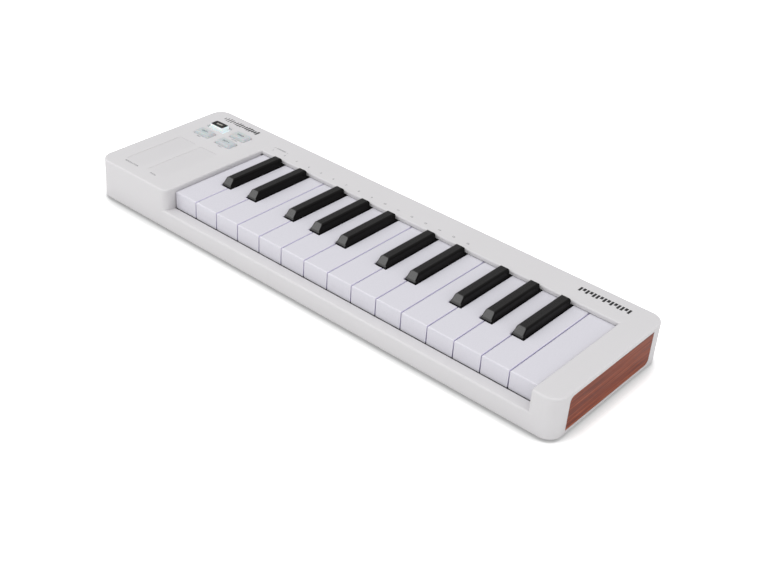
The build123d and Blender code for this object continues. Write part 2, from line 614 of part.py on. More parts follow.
def control_board():
    board = block(BAY_LEFT, BAY_RIGHT, -34.0, 41.0, CONTROL_BOARD_UNDER, CONTROL_BOARD_TOP)
    for x, y in CONTROL_BOARD_SCREWS:
        board -= post(x, y, CONTROL_BOARD_UNDER - 1, CONTROL_BOARD_TOP + 1, SCREW_RADIUS + 0.15)
    return board


def touch_sensor_film():
    """The sensing film glued under the case top, below both touch strips."""
    left = min(STRIP_COLUMNS.values()) - STRIP_WIDTH / 2
    right = max(STRIP_COLUMNS.values()) + STRIP_WIDTH / 2
    return block(left, right, STRIP_FRONT, STRIP_BACK, PLATE_UNDER - 0.4, PLATE_UNDER)


def button_switches():
    switches = []
    for node in BUTTONS:
        x, y = button_centre(node)
        body = block(x - 3, x + 3, y - 3, y + 3, CONTROL_BOARD_TOP, SWITCH_BODY_TOP)
        switches.append(body + post(x, y, SWITCH_BODY_TOP - 0.2, SWITCH_TOP, 1.6))
    return group(switches)


def button_leds():
    leds = []
    for node in BUTTONS:
        x, y = button_centre(node)
        leds.append(block(x + 4.2, x + 5.8, y - 0.8, y + 0.8, CONTROL_BOARD_TOP, CONTROL_BOARD_TOP + 0.8))
    return group(leds)


def board_chips():
    """The controller, its crystal and the regulator on the main board."""
    top = MAIN_BOARD_TOP
    controller = block(-152.0, -142.0, -8.0, 2.0, top, top + 1.4)
    crystal = block(-139.0, -134.0, -4.6, -1.4, top, top + 1.2)
    regulator = block(-160.5, -154.0, 20.0, 23.5, top, top + 1.8)
    key_scan = [block(x, x + 8.6, -8.6, -4.9, KEY_BOARD_UNDER - 1.5, KEY_BOARD_UNDER) for x in (-70.0, 50.0)]
    return group([controller, crystal, regulator] + key_scan)


def ribbon(points, y0, y1, thick, radius):
    """A flat cable through (x, z) points with rounded turns."""
    face = trace(FilletPolyline(*points, radius=radius), thick)
    plane = Plane(origin=(0, y1, 0), x_dir=(1, 0, 0), z_dir=(0, -1, 0))
    return extrude(plane * face, y1 - y0)


def key_ribbon():
    """Joins the main board to the key board, under the wall of the key well."""
    x = BAY_RIGHT
    route = [(x - 4.0, MAIN_BOARD_TOP + 0.6), (x - 0.6, 9.6), (x + 3.2, 8.6), (CHASSIS_LEFT + 4.0, 8.4)]
    return ribbon(route, -12.0, -4.0, 0.5, 1.2)


def control_ribbon():
    """Joins the main board to the control board."""
    low, high = MAIN_BOARD_TOP + 0.5, CONTROL_BOARD_UNDER - 0.5
    route = [(-147.0, low), (-139.0, low + 1.0), (-139.0, high - 1.0), (-147.0, high)]
    return ribbon(route, -24.0, -14.0, 0.5, 1.5)


def usb_outline(grow, y0, y1):
    """A USB-C shell's outline, larger all round by grow, from y0 to y1."""
    height = USB_HEIGHT + 2 * grow
    shape = RectangleRounded(USB_WIDTH + 2 * grow, height, height / 2 - 0.01)
    plane = Plane(origin=(USB_X, y1, USB_Z), x_dir=(1, 0, 0), z_dir=(0, -1, 0))
    return extrude(plane * shape, y1 - y0)


def usb_c_socket():
    mouth = CASE_DEPTH / 2 - 0.6
    shell = usb_outline(0, mouth - USB_DEPTH, mouth)
    shell -= usb_outline(-USB_SHEET, mouth - USB_DEPTH + 1.5, mouth + 1)
    tongue = block(USB_X - 3.3, USB_X + 3.3, mouth - USB_DEPTH + 1.2, mouth - 1.2, USB_Z - 0.35, USB_Z + 0.35)
    return shell + tongue


def pedal_jack():
    """A 6.35 mm socket: a moulded body on the main board and a round nose through the case back."""
    nose = CASE_DEPTH / 2 - 0.2
    back = INNER_Y - 0.3
    half = JACK_BODY_WIDTH / 2
    body = block(JACK_X - half, JACK_X + half, nose - JACK_DEPTH, back, MAIN_BOARD_TOP, MAIN_BOARD_TOP + JACK_BODY_HEIGHT)
    body += bar_y(JACK_X, back - 1, nose, JACK_Z, JACK_NOSE)
    return body - bar_y(JACK_X, nose - JACK_DEPTH + 1.5, nose + 1, JACK_Z, JACK_BORE)


def rubber_feet():
    feet = []
    for x, y in FOOT_PLACES:
        foot = post(x, y, 0, CASE_BOTTOM + FOOT_POCKET, FOOT_RADIUS)
        feet.append(chamfer(foot.edges().group_by(Axis.Z)[0], 0.4))
    return group(feet)


def screw(length, head_radius, head_height):
    """A pan-head screw, point up, with a cross recess. Its head's underside is at z = 0."""
    shank = Pos(0, 0, length / 2) * Cylinder(SCREW_RADIUS - 0.02, length)
    head = Pos(0, 0, -head_height / 2) * Cylinder(head_radius, head_height)
    slot = Pos(0, 0, -head_height + 0.3) * (Box(2.6, 0.6, 0.7) + Box(0.6, 2.6, 0.7))
    return shank + head - slot


def case_screws():
    one = screw(8.0, SCREW_HEAD, 0.8)
    seat = CASE_BOTTOM + SCREW_HEAD_HEIGHT
    return group([Pos(x, y, seat) * one for x, y in CASE_SCREWS])


def chassis_screw_set():
    one = Rot(180, 0, 0) * screw(6.5, 2.4, 1.5)
    return group([Pos(x, y, CHASSIS_TOP) * one for x, y in chassis_screws()])


def board_screws():
    """The short screws of the three boards."""
    up = screw(4.2, 2.2, 1.3)
    down = Rot(180, 0, 0) * up
    return group(
        [Pos(x, y, KEY_BOARD_UNDER) * up for x, y in KEY_BOARD_SCREWS]
        + [Pos(x, y, MAIN_BOARD_TOP) * down for x, y in MAIN_BOARD_SCREWS]
        + [Pos(x, y, CONTROL_BOARD_UNDER) * up for x, y in CONTROL_BOARD_SCREWS]
    )


# ---- All the nodes -----------------------------------------------------------------------------
def all_parts():
    parts = {
        "top_shell": top_shell(),
        "bottom_cover": bottom_cover(),
        "left_side_panel": side_panel(-1),
        "right_side_panel": side_panel(1),
        "key_chassis": key_chassis(),
        "pivot_rod": pivot_rod(),
        "key_springs": key_springs(),
        "down_stop_felts": down_stop_felts(),
        "up_stop_felt": up_stop_felt(),
        "key_board": key_board(),
        "main_board": main_board(),
        "control_board": control_board(),
        "touch_sensor_film": touch_sensor_film(),
        "button_switches": button_switches(),
        "button_leds": button_leds(),
        "board_chips": board_chips(),
        "key_ribbon": key_ribbon(),
        "control_ribbon": control_ribbon(),
        "usb_c_socket": usb_c_socket(),
        "pedal_jack": pedal_jack(),
        "rubber_feet": rubber_feet(),
        "case_screws": case_screws(),
        "chassis_screws": chassis_screw_set(),
        "board_screws": board_screws(),
    }
    levers = lever_centres()
    middle = (levers[12] + levers[13]) / 2
    parts["contact_strip_left"] = contact_strip(levers[:13], CHASSIS_LEFT + 4, middle - 0.3)
    parts["contact_strip_right"] = contact_strip(levers[13:], middle + 0.3, CHASSIS_RIGHT - 4)
    for node, x in STRIP_COLUMNS.items():
        parts[node] = touch_strip(x)
    for node in BUTTONS:
        parts[node] = button(node)
    for node, left, right, neck_left, neck_right in white_keys():
        parts[node] = white_key(left, right, neck_left, neck_right)
    for node, x in black_keys():
        parts[node] = black_key(x)
    return parts


os.makedirs("parts", exist_ok=True)
for node, shape in all_parts().items():
    export_step(shape, f"parts/{node}.step")
    print(node, len(shape.solids()), round(shape.volume, 1))
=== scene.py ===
import json
import math

import bmesh
import bpy
from mathutils import Matrix, Vector

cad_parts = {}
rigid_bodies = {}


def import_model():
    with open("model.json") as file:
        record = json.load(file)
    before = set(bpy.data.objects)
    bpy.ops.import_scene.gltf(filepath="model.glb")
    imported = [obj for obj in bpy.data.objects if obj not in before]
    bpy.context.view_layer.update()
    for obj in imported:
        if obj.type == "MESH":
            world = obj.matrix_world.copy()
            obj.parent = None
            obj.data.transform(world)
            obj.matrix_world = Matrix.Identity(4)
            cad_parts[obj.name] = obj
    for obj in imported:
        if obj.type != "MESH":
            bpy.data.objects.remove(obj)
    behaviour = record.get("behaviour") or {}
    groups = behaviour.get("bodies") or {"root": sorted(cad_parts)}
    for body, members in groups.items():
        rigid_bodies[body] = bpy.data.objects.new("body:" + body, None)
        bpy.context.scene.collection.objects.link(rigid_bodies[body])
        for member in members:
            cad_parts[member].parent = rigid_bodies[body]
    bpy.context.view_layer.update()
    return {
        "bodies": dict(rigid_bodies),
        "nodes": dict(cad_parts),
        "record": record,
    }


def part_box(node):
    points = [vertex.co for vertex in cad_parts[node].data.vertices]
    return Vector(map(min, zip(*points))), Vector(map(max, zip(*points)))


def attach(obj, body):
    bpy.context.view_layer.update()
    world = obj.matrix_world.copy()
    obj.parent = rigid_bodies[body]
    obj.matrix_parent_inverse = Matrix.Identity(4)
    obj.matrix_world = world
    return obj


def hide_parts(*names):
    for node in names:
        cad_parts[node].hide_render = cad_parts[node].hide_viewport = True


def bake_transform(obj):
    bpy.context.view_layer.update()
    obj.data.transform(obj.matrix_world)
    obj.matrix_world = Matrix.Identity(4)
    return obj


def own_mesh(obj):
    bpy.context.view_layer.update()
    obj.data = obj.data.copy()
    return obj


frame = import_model()

MM = 0.001
nodes = frame["nodes"]

# ---- Places, read from the frame (metres) --------------------------------------------------------
CASE_LOW, CASE_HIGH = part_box("top_shell")
PANEL_Z = CASE_HIGH.z
CASE_BOTTOM_Z = CASE_LOW.z


# ---- Small helpers -------------------------------------------------------------------------------
def middle_x(node):
    low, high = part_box(node)
    return (low.x + high.x) / 2


def top_centre(node):
    """X, Y and Z of the middle of a node's top."""
    low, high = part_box(node)
    return (low.x + high.x) / 2, (low.y + high.y) / 2, high.z


def add(name, mesh):
    piece = bpy.data.objects.new(name, mesh)
    bpy.context.scene.collection.objects.link(piece)
    return piece


def nodes_of(material):
    return material.node_tree.nodes, material.node_tree.links


def new_material(name, colour, roughness, **sockets):
    """A Principled material with plain values on the shader's own sockets."""
    material = bpy.data.materials.new(name)
    material.use_nodes = True
    shader = material.node_tree.nodes["Principled BSDF"]
    shader.inputs["Base Color"].default_value = (*colour, 1.0)
    shader.inputs["Roughness"].default_value = roughness
    for socket, value in sockets.items():
        shader.inputs[socket.replace("_", " ")].default_value = value
    return material


def object_noise(material, scale, detail=3.0, roughness=0.55, stretch=(1, 1, 1)):
    """Noise in the object's own coordinates. Scale is in cells per metre."""
    tree, links = nodes_of(material)
    where = tree.new("ShaderNodeTexCoord")
    mapping = tree.new("ShaderNodeMapping")
    mapping.inputs["Scale"].default_value = stretch
    noise = tree.new("ShaderNodeTexNoise")
    noise.inputs["Scale"].default_value = scale
    noise.inputs["Detail"].default_value = detail
    noise.inputs["Roughness"].default_value = roughness
    links.new(where.outputs["Object"], mapping.inputs["Vector"])
    links.new(mapping.outputs["Vector"], noise.inputs["Vector"])
    return noise.outputs["Fac"]


def ramp(material, fac, stops):
    """A colour ramp with (place, colour) stops."""
    tree, links = nodes_of(material)
    node = tree.new("ShaderNodeValToRGB")
    while len(node.color_ramp.elements) < len(stops):
        node.color_ramp.elements.new(0.5)
    for element, (at, colour) in zip(node.color_ramp.elements, stops):
        element.position = at
        element.color = (*colour, 1.0)
    links.new(fac, node.inputs["Fac"])
    return node.outputs["Color"]


def map_range(material, fac, low, high, start=0.3, end=0.7):
    """A value that goes from low to high as fac goes from start to end."""
    tree, links = nodes_of(material)
    node = tree.new("ShaderNodeMapRange")
    node.inputs["From Min"].default_value = start
    node.inputs["From Max"].default_value = end
    node.inputs["To Min"].default_value = low
    node.inputs["To Max"].default_value = high
    links.new(fac, node.inputs["Value"])
    return node.outputs["Result"]


def vary_colour(material, fac, colour, spread):
    low = tuple(c * (1 - spread) for c in colour)
    high = tuple(min(1.0, c * (1 + spread)) for c in colour)
    _, links = nodes_of(material)
    shader = material.node_tree.nodes["Principled BSDF"]
    links.new(ramp(material, fac, [(0.3, low), (0.7, high)]), shader.inputs["Base Color"])


def vary_roughness(material, fac, low, high):
    _, links = nodes_of(material)
    shader = material.node_tree.nodes["Principled BSDF"]
    links.new(map_range(material, fac, low, high), shader.inputs["Roughness"])


def add_bump(material, fac, height, strength=1.0):
    """Surface relief, height in metres."""
    tree, links = nodes_of(material)
    bump = tree.new("ShaderNodeBump")
    bump.inputs["Strength"].default_value = strength
    bump.inputs["Distance"].default_value = height
    links.new(fac, bump.inputs["Height"])
    links.new(bump.outputs["Normal"], material.node_tree.nodes["Principled BSDF"].inputs["Normal"])


# ---- Materials -----------------------------------------------------------------------------------
def moulded(name, colour, rough_low, rough_high, grain, height, spread=0.012, **sockets):
    """Moulded plastic: broad drift in tone and gloss, and the fine grain of the tool's texture."""
    material = new_material(name, colour, rough_low, **sockets)
    broad = object_noise(material, 28, 2.0)
    vary_colour(material, broad, colour, spread)
    fine = object_noise(material, grain, 2.0)
    vary_roughness(material, fine, rough_low, rough_high)
    add_bump(material, fine, height, 0.35)
    return material


def case_material():
    return moulded("case_plastic", (0.598, 0.588, 0.599), 0.45, 0.55, 3400, 0.00001, 0.006)


def side_share(material, start, end, low, high):
    """A value that goes from low to high as the surface turns to face left or right."""
    tree, links = nodes_of(material)
    facing = tree.new("ShaderNodeNewGeometry")
    split = tree.new("ShaderNodeSeparateXYZ")
    side = tree.new("ShaderNodeMath")
    side.operation = "ABSOLUTE"
    links.new(facing.outputs["Normal"], split.inputs["Vector"])
    links.new(split.outputs["X"], side.inputs[0])
    return map_range(material, side.outputs[0], low, high, start, end)


def white_key_material():
    """Glossy white with a cool tone. The flanks between the keys are painted darker and more purple: painted
    shade in the gaps.
    """
    material = new_material("white_key_plastic", (0.615, 0.606, 0.655), 0.28)
    fine = object_noise(material, 3200, 2.0)
    vary_roughness(material, fine, 0.27, 0.29)
    flank_painted_shade = side_share(material, 0.6, 0.95, 0.0, 1.0)
    # Painted shade: the colour turns darker and more purple on the flanks, where shade falls between the
    # keys.
    stops = [(0.0, (0.615, 0.606, 0.655)), (1.0, (0.57, 0.54, 0.70))]
    _, links = nodes_of(material)
    links.new(ramp(material, flank_painted_shade, stops), material.node_tree.nodes["Principled BSDF"].inputs["Base Color"])
    return material


def black_key_material():
    """Black plastic, satin on top and in front, matt on the flanks."""
    material = moulded("black_key_plastic", (0.0048, 0.0044, 0.0044), 0.26, 0.31, 2600, 0.000002, 0.1)
    gloss = side_share(material, 0.10, 0.50, 0.7, 0.05)
    _, links = nodes_of(material)
    links.new(gloss, material.node_tree.nodes["Principled BSDF"].inputs["Specular IOR Level"])
    return material


def strip_material():
    return moulded("strip_plastic", (0.590, 0.580, 0.591), 0.40, 0.44, 2200, 0.000005, 0.005)


def button_material():
    glow = {"Subsurface_Weight": 0.25, "Subsurface_Scale": 0.002}
    return moulded("button_plastic", (0.500, 0.530, 0.545), 0.34, 0.42, 2400, 0.000005, 0.006, **glow)


def lit_button_material():
    glow = {
        "Emission_Color": (0.86, 1.0, 1.0, 1.0),
        "Emission_Strength": 0.16,
        "Subsurface_Weight": 0.3,
        "Subsurface_Scale": 0.002,
    }
    return moulded("shift_plastic", (0.72, 0.76, 0.76), 0.3, 0.36, 2400, 0.000005, 0.006, **glow)


STREAK_SHARE = 0.8  # how much the wood's tone follows its fine streaks, and not its slow bands


def wood_material():
    """Reddish veneer: fine streaks and pores that run along the case, over slower bands."""
    material = new_material("wood", (0.28, 0.09, 0.06), 0.45, Specular_IOR_Level=0.2)
    tree, links = nodes_of(material)
    shader = material.node_tree.nodes["Principled BSDF"]
    bands = object_noise(material, 520, 2.0, 0.5, (1.0, 0.012, 1.0))
    streaks = object_noise(material, 1400, 4.0, 0.65, (1.0, 0.010, 1.0))
    pores = object_noise(material, 2300, 2.0, 0.5, (1.0, 0.012, 1.0))
    mix = tree.new("ShaderNodeMath")
    mix.operation = "MULTIPLY_ADD"
    mix.inputs[1].default_value = STREAK_SHARE
    links.new(streaks, mix.inputs[0])
    slow = tree.new("ShaderNodeMath")
    slow.operation = "MULTIPLY"
    slow.inputs[1].default_value = 1 - STREAK_SHARE
    links.new(bands, slow.inputs[0])
    links.new(slow.outputs[0], mix.inputs[2])
    stops = [
        (0.40, (0.110, 0.018, 0.008)),
        (0.47, (0.190, 0.038, 0.016)),
        (0.53, (0.250, 0.056, 0.024)),
        (0.61, (0.345, 0.098, 0.048)),
    ]
    base = ramp(material, mix.outputs[0], stops)
    dark = tree.new("ShaderNodeMix")
    dark.data_type = "RGBA"
    dark.blend_type = "MULTIPLY"
    dark.inputs[0].default_value = 0.5
    links.new(base, dark.inputs[6])
    links.new(ramp(material, pores, [(0.36, (0.35, 0.3, 0.28)), (0.46, (1, 1, 1))]), dark.inputs[7])
    links.new(dark.outputs[2], shader.inputs["Base Color"])
    vary_roughness(material, streaks, 0.38, 0.55)
    add_bump(material, pores, 0.00004, 0.5)
    return material


def metal_material(name, colour, roughness, grain, stretch=(1, 1, 1)):
    material = new_material(name, colour, roughness, Metallic=1.0)
    fine = object_noise(material, grain, 2.0, 0.5, stretch)
    vary_roughness(material, fine, roughness * 0.8, roughness * 1.25)
    vary_colour(material, fine, colour, 0.05)
    return material


def felt_material():
    material = new_material("felt", (0.30, 0.05, 0.06), 0.95, Sheen_Weight=0.4)
    fibres = object_noise(material, 2600, 6.0, 0.7)
    vary_colour(material, fibres, (0.30, 0.05, 0.06), 0.35)
    add_bump(material, fibres, 0.0002, 0.8)
    return material


def board_material():
    """Green solder mask with faint tracks under it."""
    material = new_material("circuit_board", (0.02, 0.14, 0.06), 0.35)
    tracks = object_noise(material, 420, 1.0, 0.4, (1, 3, 1))
    stops = [(0.46, (0.012, 0.105, 0.045)), (0.5, (0.03, 0.19, 0.085)), (0.54, (0.012, 0.105, 0.045))]
    _, links = nodes_of(material)
    shader = material.node_tree.nodes["Principled BSDF"]
    links.new(ramp(material, tracks, stops), shader.inputs["Base Color"])
    add_bump(material, tracks, 0.00005, 0.3)
    return material


MAKERS = {
    "case_plastic": case_material,
    "white_key_plastic": white_key_material,
    "black_key_plastic": black_key_material,
    "strip_plastic": strip_material,
    "button_plastic": button_material,
    "shift_plastic": lit_button_material,
    "wood": wood_material,
    "felt": felt_material,
    "circuit_board": board_material,
    "steel": lambda: metal_material("steel", (0.62, 0.62, 0.63), 0.28, 900, (0.05, 1, 1)),
    "screw_zinc": lambda: metal_material("screw_zinc", (0.5, 0.5, 0.51), 0.34, 1400),
    "chassis_plastic": lambda: moulded("chassis_plastic", (0.12, 0.12, 0.13), 0.45, 0.6, 2200, 0.00004),
    "silicone": lambda: moulded("silicone", (0.33, 0.34, 0.35), 0.55, 0.7, 1800, 0.00002),
    "rubber_grey": lambda: moulded("rubber_grey", (0.028, 0.028, 0.03), 0.7, 0.85, 2600, 0.00006),
    "sensor_film": lambda: moulded("sensor_film", (0.35, 0.16, 0.04), 0.25, 0.35, 900, 0.00001),
    "switch_black": lambda: moulded("switch_black", (0.02, 0.02, 0.022), 0.4, 0.55, 2200, 0.00003),
    "led_white": lambda: moulded("led_white", (0.85, 0.85, 0.75), 0.2, 0.3, 900, 0.00001),
    "chip_black": lambda: moulded("chip_black", (0.015, 0.015, 0.017), 0.5, 0.65, 3000, 0.00003),
    "ribbon_grey": lambda: moulded("ribbon_grey", (0.35, 0.35, 0.36), 0.4, 0.5, 1200, 0.00002),
}
materials = {name: make() for name, make in MAKERS.items()}


def dress_cad_nodes():
    """Every CAD node takes the material of its slot in the record."""
    for node, name in SLOT_OF.items():
        for slot in nodes[node].material_slots:
            slot.material = materials[name]


SLOT_OF = {row["node"]: row["material_slot"] for row in frame["record"]["subparts"]}
dress_cad_nodes()


# ---- Soft pieces under the keys ------------------------------------------------------------------
STRIP_SHEET = 1.0 * MM  # the flat part of a contact strip
COMB_DEPTH = 4.0 * MM  # the flat part of the spring comb, in front of its leaves
WELD = 0.0005 * MM
CUT_CLEAR = 0.15 * MM  # a dome or leaf is cut free this far past the flat part
FREE_GAP = 2.0 * MM  # free parts are further apart than this, and their own faces nearer


KEYS = sorted((name for name in frame["bodies"] if "_key_" in name), key=middle_x)


def half_mesh(node, point, normal):
    """The part of a CAD node on the side of a plane that its normal points to, closed at the cut."""
    shape = bmesh.new()
    shape.from_mesh(nodes[node].data)
    bmesh.ops.remove_doubles(shape, verts=shape.verts, dist=WELD)
    everything = shape.verts[:] + shape.edges[:] + shape.faces[:]
    cut = bmesh.ops.bisect_plane(shape, geom=everything, plane_co=point, plane_no=normal, clear_inner=True)
    edges = [piece for piece in cut["geom_cut"] if isinstance(piece, bmesh.types.BMEdge)]
    bmesh.ops.triangle_fill(shape, edges=edges, use_beauty=True, use_dissolve=False)
    bmesh.ops.recalc_face_normals(shape, faces=shape.faces)
    shape.verts.index_update()
    shape.verts.ensure_lookup_table()
    return shape


def piece_from(shape, faces, name, node):
    """A new piece from some faces of a shape, in the node's own material."""
    corners = sorted({vertex.index for face in faces for vertex in face.verts})
    place_of = {index: i for i, index in enumerate(corners)}
    points = [shape.verts[index].co[:] for index in corners]
    loops = [[place_of[vertex.index] for vertex in face.verts] for face in faces]
    mesh = bpy.data.meshes.new(name)
    mesh.from_pydata(points, [], loops)
    mesh.materials.append(materials[SLOT_OF[node]])
    piece = add(name, mesh)
    return piece


def groups_along_x(faces):
    """Faces in groups with clear gaps between them along X, from left to right."""
    ordered = sorted(faces, key=lambda face: face.calc_center_median().x)
    groups = [[ordered[0]]]
    for before, face in zip(ordered, ordered[1:]):
        if face.calc_center_median().x - before.calc_center_median().x > FREE_GAP:
            groups.append([])
        groups[-1].append(face)
    return groups


def free_parts(node, point, normal):
    """Leaves on the case what lies behind a plane, and pairs each part beyond it with the key over it."""
    rest = half_mesh(node, point, -normal)
    base = piece_from(rest, rest.faces[:], f"{node}_base", node)
    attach(base, "case")
    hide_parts(node)
    free = half_mesh(node, point, normal)
    low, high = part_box(node)
    keys = [key for key in KEYS if low.x < middle_x(key) < high.x]
    groups = groups_along_x(free.faces[:])
    return [(key, free, faces) for key, faces in zip(keys, groups, strict=True)]


def rubber_domes(node):
    """Each dome is cut free of the strip as its own piece, named after the key over it and held by the case.
    """
    low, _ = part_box(node)
    cut = Vector((0, 0, low.z + STRIP_SHEET + CUT_CLEAR))
    for key, shape, faces in free_parts(node, cut, Vector((0, 0, 1))):
        dome = piece_from(shape, faces, f"{key}_dome", node)
        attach(dome, "case")
        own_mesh(dome)


def spring_leaves():
    """Each leaf is cut free of the comb as its own piece, named after the key that it lifts."""
    low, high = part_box("key_springs")
    root = Vector((0, low.y + COMB_DEPTH + CUT_CLEAR, 0))
    for key, shape, faces in free_parts("key_springs", root, Vector((0, 1, 0))):
        leaf = piece_from(shape, faces, f"{key}_spring", "key_springs")
        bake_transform(leaf)


rubber_domes("contact_strip_left")
rubber_domes("contact_strip_right")
spring_leaves()


# ---- Printed legends -----------------------------------------------------------------------------
INK_THICKNESS = 0.03 * MM
INK_SINK = 0.01 * MM
CAPITAL_SHARE = 0.72  # a capital letter's height as a share of the font's size
BOLDER = 0.035  # how much the letters are thickened, as a share of their height
CHANNELS = 16
BARS = 15  # in each of the two printed patterns
NUMBER_HEIGHT = 1.5 * MM
HEADING_HEIGHT = 1.25 * MM
STRIP_WORD_HEIGHT = 1.3 * MM
STRIP_WORD_DROP = 2.4 * MM  # from a touch strip's front end to its word
PANEL_WORD_HEIGHT = 1.0 * MM
PANEL_WORD_DROP = 0.5 * MM  # from a button's front edge to the word before it
CAP_WORD_HEIGHT = 1.45 * MM
RULE = 0.14 * MM  # thickness of the heading's thin lines


def ink(name, colour):
    return moulded(name, colour, 0.45, 0.55, 2600, 0.00001, 0.02)


ink_dark = ink("ink_dark", (0.012, 0.012, 0.013))
ink_pale = ink("ink_pale", (0.20, 0.20, 0.21))
ink_light = ink("ink_light", (0.62, 0.60, 0.55))


def text_mesh(words, height):
    """Flat lettering centred on the origin, as tall as height for a capital letter."""
    curve = bpy.data.curves.new("words", "FONT")
    curve.body = words
    curve.size = height / CAPITAL_SHARE
    curve.align_x = "CENTER"
    curve.align_y = "CENTER"
    curve.extrude = INK_THICKNESS / 2
    curve.offset = BOLDER * height
    curve.resolution_u = 3
    carrier = add("words", curve)
    bpy.context.view_layer.update()
    mesh = bpy.data.meshes.new_from_object(carrier)
    bpy.data.objects.remove(carrier)
    bpy.data.curves.remove(curve)
    return mesh


def bar_mesh(width, depth):
    """A flat printed bar centred on the origin."""
    x, y, z = width / 2, depth / 2, INK_THICKNESS / 2
    corners = [(sx * x, sy * y, sz * z) for sx in (-1, 1) for sy in (-1, 1) for sz in (-1, 1)]
    faces = [(0, 1, 3, 2), (4, 6, 7, 5), (0, 4, 5, 1), (2, 3, 7, 6), (0, 2, 6, 4), (1, 5, 7, 3)]
    mesh = bpy.data.meshes.new("bar")
    mesh.from_pydata(corners, [], faces)
    return mesh


def print_on(name, marks, surface_z, body, material):
    """Joins placed marks into one printed piece. Each mark is (mesh, x, y)."""
    vertices, faces = [], []
    z = surface_z + INK_THICKNESS / 2 - INK_SINK
    for mesh, x, y in marks:
        start = len(vertices)
        vertices += [(v.co.x + x, v.co.y + y, v.co.z + z) for v in mesh.vertices]
        faces += [tuple(start + i for i in face.vertices) for face in mesh.polygons]
        bpy.data.meshes.remove(mesh)
    mesh = bpy.data.meshes.new(name)
    mesh.from_pydata(vertices, [], faces)
    mesh.materials.append(material)
    piece = add(name, mesh)
    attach(piece, body)
    return piece


def channel_numbers():
    first_x, step, y = -109.85 * MM, 10.84 * MM, 35.75 * MM
    return [(text_mesh(str(i + 1), NUMBER_HEIGHT), first_x + i * step, y) for i in range(CHANNELS)]


def channel_heading():
    """A word with a thin line on each side, which turns down towards the numbers."""
    x, y = -105.75 * MM, 39.65 * MM
    marks = [(text_mesh("CHANNEL", HEADING_HEIGHT), x, y)]
    for side in (-1, 1):
        marks.append((bar_mesh(1.4 * MM, RULE), x + side * 5.2 * MM, y))
        marks.append((bar_mesh(RULE, 1.5 * MM), x + side * 5.83 * MM, y - 0.7 * MM))
    return marks


def button_words():
    """(node, word on the cap, word on the panel in front of it)."""
    return (
        ("shift_button", "SHIFT", None),
        ("hold_button", "HOLD", "CHORD"),
        ("octave_down_button", "OCT -", "PREV"),
        ("octave_up_button", "OCT +", "NEXT"),
    )


def panel_labels():
    marks = []
    for node, words in (("modulation_touch_strip", "MODULATION"), ("pitch_touch_strip", "PITCH")):
        low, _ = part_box(node)
        marks.append((text_mesh(words, STRIP_WORD_HEIGHT), middle_x(node), low.y - STRIP_WORD_DROP))
    for node, _, words in button_words():
        if words:
            low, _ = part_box(node)
            marks.append((text_mesh(words, PANEL_WORD_HEIGHT), middle_x(node), low.y - PANEL_WORD_DROP))
    return marks


def keyboard_glyph():
    """A row of bars, long and short like white and black keys."""
    pitch, left, y = 2.3 * MM, 127.45 * MM, 43.85 * MM
    short_bars = (1, 3, 6, 8, 10, 13)
    marks = []
    for i in range(BARS):
        tall = i not in short_bars
        height = (4.4 if tall else 2.8) * MM
        middle = y + (0 if tall else 0.8 * MM)
        marks.append((bar_mesh((1.45 if tall else 1.75) * MM, height), left + i * pitch, middle))
    return marks


def level_glyph():
    """A row of bars that grow and shrink like a sound level, finer on the left."""
    pitch, left, y = 2.2 * MM, -165.0 * MM, 45.25 * MM
    marks = []
    for i in range(BARS):
        height = (2.2 + 2.8 * abs(math.sin(i * 0.75))) * MM
        width = (0.7 + 0.06 * i) * MM
        marks.append((bar_mesh(width, height), left + i * pitch, y))
    return marks


print_on("channel_numbers", channel_numbers() + channel_heading(), PANEL_Z, "case", ink_pale)
print_on("panel_labels", panel_labels(), PANEL_Z, "case", ink_pale)
print_on("keyboard_glyph", keyboard_glyph(), PANEL_Z, "case", ink_dark)
print_on("level_glyph", level_glyph(), PANEL_Z, "case", ink_dark)


FACE_THICKNESS = 0.12 * MM
FACE_SINK = 0.02 * MM


def rounded_plate(name, width, depth, corner, thickness, x, y, z):
    """A thin plate with round corners and a softened rim."""
    steps = 6
    outline = []
    for quarter, (sx, sy) in enumerate([(1, 1), (-1, 1), (-1, -1), (1, -1)]):
        for i in range(steps + 1):
            angle = math.radians(90 * quarter + 90 * i / steps)
            cx = sx * (width / 2 - corner)
            cy = sy * (depth / 2 - corner)
            outline.append((cx + corner * math.cos(angle), cy + corner * math.sin(angle)))
    rim = min(corner, thickness) * 0.5
    rings = [(0.0, 0.0), (0.0, thickness - rim), (rim, thickness)]
    vertices = []
    for inset, height in rings:
        for px, py in outline:
            shrink_x = 1 - 2 * inset / width
            shrink_y = 1 - 2 * inset / depth
            vertices.append((x + px * shrink_x, y + py * shrink_y, z + height))
    count = len(outline)
    faces = [tuple(reversed(range(count))), tuple(range(2 * count, 3 * count))]
    for ring in range(2):
        for i in range(count):
            a, b = ring * count + i, ring * count + (i + 1) % count
            faces.append((a, b, b + count, a + count))
    mesh = bpy.data.meshes.new(name)
    mesh.from_pydata(vertices, [], faces)
    return add(name, mesh)


def shift_face():
    """The dark face on the lit Shift cap."""
    x, y, top = top_centre("shift_button")
    width, depth, corner = 11.0 * MM, 6.2 * MM, 1.0 * MM
    base = top - FACE_SINK
    plate = rounded_plate("shift_button_face", width, depth, corner, FACE_THICKNESS, x, y, base)
    plate.data.materials.append(materials["black_key_plastic"])
    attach(plate, "shift_button")
    return base + FACE_THICKNESS


def cap_labels(shift_top):
    """The word on each button's cap, pale on the dark Shift face and dark on the others."""
    for node, words, _ in button_words():
        x, y, top = top_centre(node)
        colour = ink_dark
        if node == "shift_button":
            top, colour = shift_top, ink_light
        marks = [(text_mesh(words, CAP_WORD_HEIGHT), x, y)]
        print_on(f"{node}_label", marks, top, node, colour)


cap_labels(shift_face())


